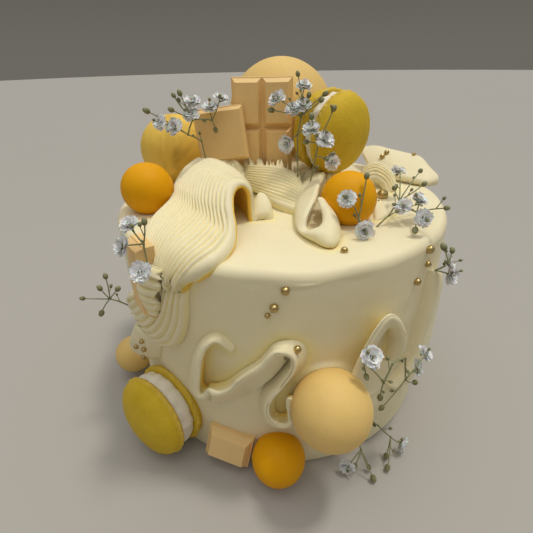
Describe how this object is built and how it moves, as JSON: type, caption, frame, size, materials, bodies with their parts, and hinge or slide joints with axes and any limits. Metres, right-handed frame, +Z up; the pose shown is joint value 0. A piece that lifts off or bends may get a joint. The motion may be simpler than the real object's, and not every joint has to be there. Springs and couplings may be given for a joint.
{
  "type": "decorated cake",
  "caption": "Tall round cake in pale buttercream with piped combed ribbons, chocolate balls and bars, macarons and sprigs of small white flowers.",
  "frame": {"origin": "centre of the cake's flat base", "axes": "+Z up along the cake's axis, -Y towards the front that the picture shows, +X to its right"},
  "size_m": [0.1939, 0.2076, 0.1748],
  "materials": {
    "icing": "satin buttercream",
    "orange_chocolate": "satin chocolate coating",
    "mango_chocolate": "satin chocolate coating with darker mottles",
    "peach_chocolate": "satin chocolate coating",
    "caramel_chocolate": "satin moulded chocolate",
    "macaron_shell": "matte baked shell",
    "macaron_filling": "satin cream",
    "flower_sprig": "matte petals on dull green stems"
  },
  "bodies": {
    "root": {"ball_mango_top": "mango_chocolate", "ball_orange_front": "orange_chocolate", "ball_orange_top_left": "orange_chocolate", "ball_orange_top_right": "orange_chocolate", "ball_peach_front": "peach_chocolate", "ball_peach_left": "peach_chocolate", "ball_peach_top": "peach_chocolate", "chocolate_bar_left": "caramel_chocolate", "chocolate_bar_top": "caramel_chocolate", "chocolate_piece_front": "caramel_chocolate", "chocolate_tile_top": "caramel_chocolate", "comb_arch_right": "icing", "comb_curl_left": "icing", "comb_fan_small": "icing", "comb_fold_large": "icing", "comb_shell_left": "icing", "comb_strip_top": "icing", "cream_bed": "icing", "cream_heap_left": "icing", "cream_heap_right": "icing", "iced_cake": "icing", "macaron_base_far_shell": "macaron_shell", "macaron_base_filling": "macaron_filling", "macaron_base_near_shell": "macaron_shell", "macaron_top_far_shell": "macaron_shell", "macaron_top_filling": "macaron_filling", "macaron_top_near_shell": "macaron_shell", "smooth_ribbon_right": "icing", "smooth_slab_right": "icing", "sprig_ball": "flower_sprig", "sprig_edge_high": "flower_sprig", "sprig_edge_low": "flower_sprig", "sprig_foot": "flower_sprig", "sprig_foot_left": "flower_sprig", "sprig_left_high": "flower_sprig", "sprig_left_low": "flower_sprig", "sprig_top_left": "flower_sprig", "sprig_top_macaron": "flower_sprig", "sprig_top_middle": "flower_sprig", "sprig_top_right": "flower_sprig", "teardrop_curl": "icing", "wave_back": "icing", "wave_edge": "icing", "wave_front": "icing", "wave_left": "icing", "wave_right": "icing"}
  },
  "joints": []
}
